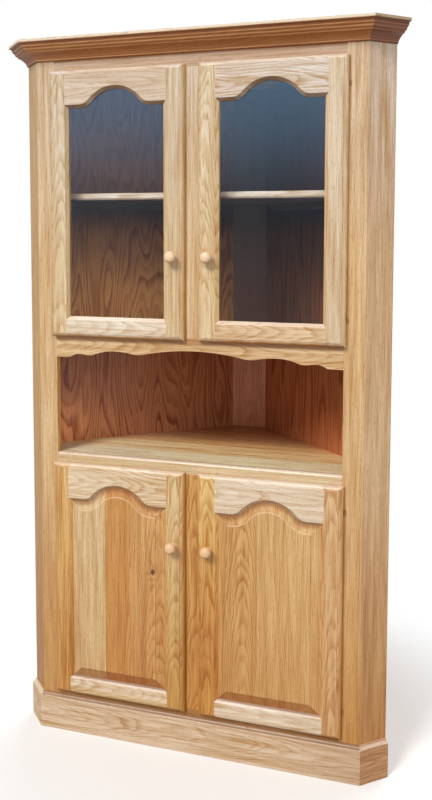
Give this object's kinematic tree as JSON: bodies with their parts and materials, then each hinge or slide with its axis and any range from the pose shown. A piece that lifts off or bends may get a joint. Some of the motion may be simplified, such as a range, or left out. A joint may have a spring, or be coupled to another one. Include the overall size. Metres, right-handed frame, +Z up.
{
  "type": "corner hutch",
  "caption": "Five-sided oak corner hutch: glazed cupboard with arched door rails over an open counter bay and a raised-panel cupboard, on a moulded base under a stepped crown.",
  "frame": {"origin": "on the floor, in the middle of the width and of the depth, crown included", "axes": "+Z up, +X to the right of someone facing the doors, +Y towards the room corner; the plan is mirror-symmetric in X"},
  "size_m": [1.149, 0.5998, 2],
  "materials": {
    "oak": "golden brown stained oak under satin lacquer",
    "oak_plywood": "oak-faced plywood, stained to match, satin",
    "glass": "clear flat glass",
    "bronzed_steel": "dark antique bronze lacquer on steel",
    "brown_plastic": "plain moulded plastic"
  },
  "bodies": {
    "carcass": {"left_stile": "oak", "right_stile": "oak", "top_rail": "oak", "upper_mullion": "oak", "apron_rail": "oak", "counter_rail": "oak", "lower_mullion": "oak", "bottom_rail": "oak", "left_return": "oak", "right_return": "oak", "back_corner_board": "oak", "counter_panel": "oak", "upper_shelf": "oak", "lower_shelf": "oak", "crown_front": "oak", "crown_left": "oak", "crown_right": "oak", "base_front": "oak", "base_left": "oak", "base_right": "oak", "wall_cleats": "oak", "return_cleats": "oak", "left_back_wall": "oak_plywood", "right_back_wall": "oak_plywood", "floor_panel": "oak_plywood", "upper_deck": "oak_plywood", "top_panel": "oak_plywood", "hinge_frame_leaves": "bronzed_steel", "hinge_pins": "bronzed_steel", "magnetic_catches": "brown_plastic"},
    "upper_left_door": {"upper_left_hinge_stile": "oak", "upper_left_meeting_stile": "oak", "upper_left_top_rail": "oak", "upper_left_bottom_rail": "oak", "upper_left_pane": "glass", "upper_left_glass_stops": "oak", "upper_left_knob": "oak", "upper_left_hinge_leaves": "bronzed_steel"},
    "upper_right_door": {"upper_right_hinge_stile": "oak", "upper_right_meeting_stile": "oak", "upper_right_top_rail": "oak", "upper_right_bottom_rail": "oak", "upper_right_pane": "glass", "upper_right_glass_stops": "oak", "upper_right_knob": "oak", "upper_right_hinge_leaves": "bronzed_steel"},
    "lower_left_door": {"lower_left_hinge_stile": "oak", "lower_left_meeting_stile": "oak", "lower_left_top_rail": "oak", "lower_left_bottom_rail": "oak", "lower_left_panel": "oak", "lower_left_knob": "oak", "lower_left_hinge_leaves": "bronzed_steel"},
    "lower_right_door": {"lower_right_hinge_stile": "oak", "lower_right_meeting_stile": "oak", "lower_right_top_rail": "oak", "lower_right_bottom_rail": "oak", "lower_right_panel": "oak", "lower_right_knob": "oak", "lower_right_hinge_leaves": "bronzed_steel"}
  },
  "joints": [
    {"name": "upper_left_door_hinge", "type": "hinge", "parent": "carcass", "child": "upper_left_door", "pos_m": [-0.427, -0.24518, 1.54355], "axis": [0, 0, -1], "range_deg": [0, 110]},
    {"name": "upper_right_door_hinge", "type": "hinge", "parent": "carcass", "child": "upper_right_door", "pos_m": [0.427, -0.24518, 1.54355], "axis": [0, 0, 1], "range_deg": [0, 110]},
    {"name": "lower_left_door_hinge", "type": "hinge", "parent": "carcass", "child": "lower_left_door", "pos_m": [-0.427, -0.24518, 0.4616], "axis": [0, 0, -1], "range_deg": [0, 110]},
    {"name": "lower_right_door_hinge", "type": "hinge", "parent": "carcass", "child": "lower_right_door", "pos_m": [0.427, -0.24518, 0.4616], "axis": [0, 0, 1], "range_deg": [0, 110]}
  ]
}
